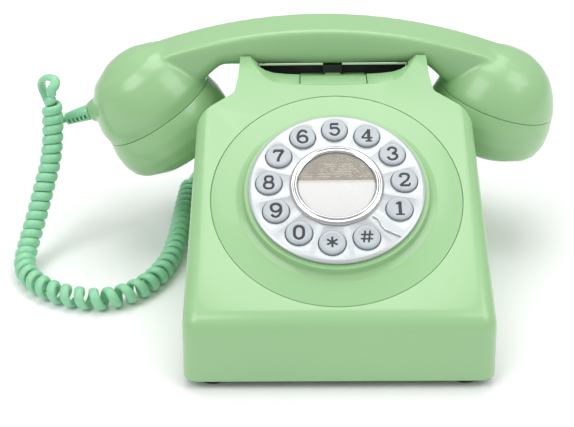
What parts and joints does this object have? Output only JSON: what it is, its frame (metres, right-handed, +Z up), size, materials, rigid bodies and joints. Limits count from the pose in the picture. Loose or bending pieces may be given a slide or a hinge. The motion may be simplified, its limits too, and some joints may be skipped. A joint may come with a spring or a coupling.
{
  "type": "push-button table telephone",
  "caption": "Push-button table telephone with a round dial-style keypad, lift-off handset on a cradle, curly cord and twin-gong bell.",
  "frame": {"origin": "centre of the footprint of the telephone and its handset, on the surface it stands on", "axes": "+X to the right across the telephone, seen from the front, along the handset; +Y to the back; +Z up"},
  "size_m": [0.2838, 0.2197, 0.118],
  "materials": {
    "casing": "moulded satin-gloss",
    "base_sheet": "satin black",
    "foot_rubber": "matt",
    "screw_steel": "zinc plated",
    "dial_plate": "satin silver",
    "chrome": "polished",
    "card": "matt",
    "clear_lens": "clear",
    "key_rubber": "matt",
    "circuit_board": "solder mask",
    "dark_moulding": "satin",
    "bracket_steel": "zinc plated",
    "coil_winding": "varnished winding",
    "gong_brass": "lacquered",
    "cord_sheath": "soft satin",
    "clear_plug": "clear",
    "button": "satin"
  },
  "bodies": {
    "case": {"upper_case": "casing", "base_plate": "base_sheet", "foot_front_left": "foot_rubber", "foot_front_right": "foot_rubber", "foot_rear_left": "foot_rubber", "foot_rear_right": "foot_rubber", "case_screw_1": "screw_steel", "case_screw_2": "screw_steel", "case_screw_3": "screw_steel", "case_screw_4": "screw_steel", "dial_surround": "casing", "dial_plate": "dial_plate", "finger_stop": "chrome", "centre_ring": "chrome", "number_card": "card", "lens": "clear_lens", "keypad_mat": "key_rubber", "keypad_board": "circuit_board", "keypad_tray": "dark_moulding", "ringer_frame": "bracket_steel", "ringer_coil": "coil_winding", "gong_left": "gong_brass", "gong_screw_left": "screw_steel", "gong_right": "gong_brass", "gong_screw_right": "screw_steel", "main_board": "circuit_board", "hook_switch": "dark_moulding", "hook_bracket": "bracket_steel", "handset_socket": "dark_moulding", "line_socket": "dark_moulding", "ringer_switch": "dark_moulding", "cord_coil": "cord_sheath", "cord_tail_base": "cord_sheath", "cord_plug": "clear_plug"},
    "handset": {"handset_body": "casing", "ear_cap": "casing", "receiver_capsule": "dark_moulding", "mouth_cap": "casing", "microphone_capsule": "dark_moulding", "handset_weight": "bracket_steel", "cord_strain_relief": "cord_sheath", "cord_tail_top": "cord_sheath"},
    "hook": {"hook_bar": "casing"},
    "clapper_arm": {"clapper": "gong_brass"},
    "ringer_knob": {"ringer_switch_knob": "dark_moulding"},
    "button_1_key": {"button_1": "button"},
    "button_2_key": {"button_2": "button"},
    "button_3_key": {"button_3": "button"},
    "button_4_key": {"button_4": "button"},
    "button_5_key": {"button_5": "button"},
    "button_6_key": {"button_6": "button"},
    "button_7_key": {"button_7": "button"},
    "button_8_key": {"button_8": "button"},
    "button_9_key": {"button_9": "button"},
    "button_0_key": {"button_0": "button"},
    "button_star_key": {"button_star": "button"},
    "button_hash_key": {"button_hash": "button"}
  },
  "joints": [
    {"name": "handset_lift", "type": "slide", "parent": "case", "child": "handset", "axis": [0, 0, 1], "range_m": [0, 0.08]},
    {"name": "hook_rise", "type": "slide", "parent": "case", "child": "hook", "axis": [0, 0, 1], "range_m": [0, 0.004]},
    {"name": "clapper_swing", "type": "hinge", "parent": "case", "child": "clapper_arm", "pos_m": [0.0065, 0.024, 0.021], "axis": [0, 0, 1], "range_deg": [-3, 3], "stiffness_Nm_per_rad": 0.002},
    {"name": "ringer_switch_slide", "type": "slide", "parent": "case", "child": "ringer_knob", "axis": [1, 0, 0], "range_m": [-0.003, 0.003]},
    {"name": "button_1_press", "type": "slide", "parent": "case", "child": "button_1_key", "axis": [0, 0.4695, -0.8829], "range_m": [0, 0.0013], "stiffness_N_per_m": 400},
    {"name": "button_2_press", "type": "slide", "parent": "case", "child": "button_2_key", "axis": [0, 0.4695, -0.8829], "range_m": [0, 0.0013], "stiffness_N_per_m": 400},
    {"name": "button_3_press", "type": "slide", "parent": "case", "child": "button_3_key", "axis": [0, 0.4695, -0.8829], "range_m": [0, 0.0013], "stiffness_N_per_m": 400},
    {"name": "button_4_press", "type": "slide", "parent": "case", "child": "button_4_key", "axis": [0, 0.4695, -0.8829], "range_m": [0, 0.0013], "stiffness_N_per_m": 400},
    {"name": "button_5_press", "type": "slide", "parent": "case", "child": "button_5_key", "axis": [0, 0.4695, -0.8829], "range_m": [0, 0.0013], "stiffness_N_per_m": 400},
    {"name": "button_6_press", "type": "slide", "parent": "case", "child": "button_6_key", "axis": [0, 0.4695, -0.8829], "range_m": [0, 0.0013], "stiffness_N_per_m": 400},
    {"name": "button_7_press", "type": "slide", "parent": "case", "child": "button_7_key", "axis": [0, 0.4695, -0.8829], "range_m": [0, 0.0013], "stiffness_N_per_m": 400},
    {"name": "button_8_press", "type": "slide", "parent": "case", "child": "button_8_key", "axis": [0, 0.4695, -0.8829], "range_m": [0, 0.0013], "stiffness_N_per_m": 400},
    {"name": "button_9_press", "type": "slide", "parent": "case", "child": "button_9_key", "axis": [0, 0.4695, -0.8829], "range_m": [0, 0.0013], "stiffness_N_per_m": 400},
    {"name": "button_0_press", "type": "slide", "parent": "case", "child": "button_0_key", "axis": [0, 0.4695, -0.8829], "range_m": [0, 0.0013], "stiffness_N_per_m": 400},
    {"name": "button_star_press", "type": "slide", "parent": "case", "child": "button_star_key", "axis": [0, 0.4695, -0.8829], "range_m": [0, 0.0013], "stiffness_N_per_m": 400},
    {"name": "button_hash_press", "type": "slide", "parent": "case", "child": "button_hash_key", "axis": [0, 0.4695, -0.8829], "range_m": [0, 0.0013], "stiffness_N_per_m": 400}
  ],
  "couplings": [
    {"joint": "hook_rise", "follows": "handset_lift", "ratio": 0.05}
  ]
}
